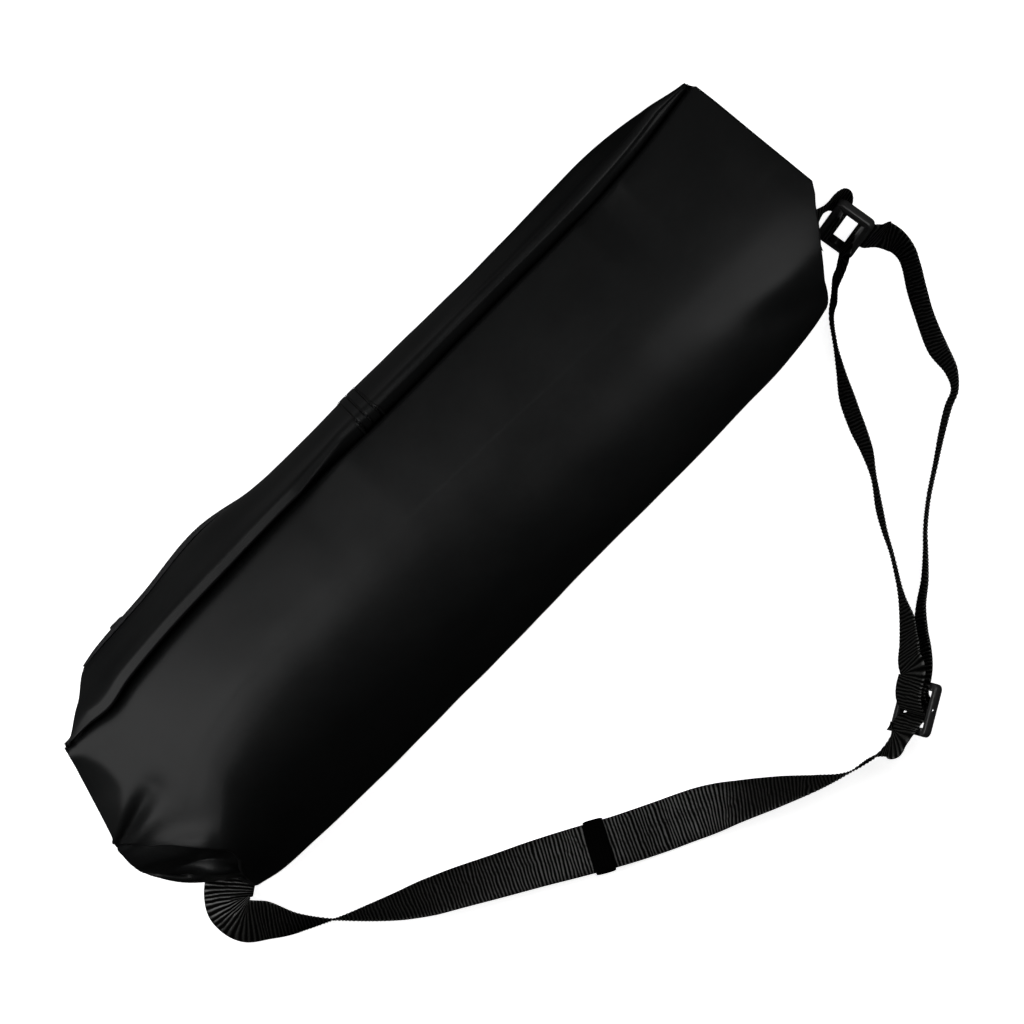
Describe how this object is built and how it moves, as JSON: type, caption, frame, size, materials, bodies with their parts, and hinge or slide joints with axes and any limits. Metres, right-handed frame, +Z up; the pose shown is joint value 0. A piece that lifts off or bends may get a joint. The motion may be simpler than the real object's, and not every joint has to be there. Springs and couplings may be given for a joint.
{
  "type": "tripod bag",
  "caption": "Long stuffed tripod bag of black coated cloth lying on its back, with a zipped gusset and a webbing shoulder strap on a slider and end loop",
  "frame": {"origin": "on the underside that the bag lies on, under the middle of the bag", "axes": "+X along the bag from its bottom end to its top end, +Y away from the strap, +Z up"},
  "size_m": [0.5757, 0.3881, 0.1192],
  "materials": {
    "coated_cloth": "coated woven nylon, low sheen",
    "zip_tape": "woven tape with a nylon coil",
    "webbing": "ribbed polypropylene webbing",
    "black_plastic": "moulded, satin",
    "steel_pin": "bright plated wire"
  },
  "bodies": {
    "root": {"main_panel": "coated_cloth", "gusset_lower": "coated_cloth", "gusset_upper": "coated_cloth", "gusset_band": "coated_cloth", "base_panel": "coated_cloth", "top_panel": "coated_cloth", "zip_strip": "zip_tape", "zip_slider": "black_plastic", "strap_run": "webbing", "strap_return": "webbing", "strap_keeper": "webbing", "end_tab": "webbing", "slider_frame": "black_plastic", "end_loop": "black_plastic", "slider_pin": "steel_pin"}
  },
  "joints": []
}
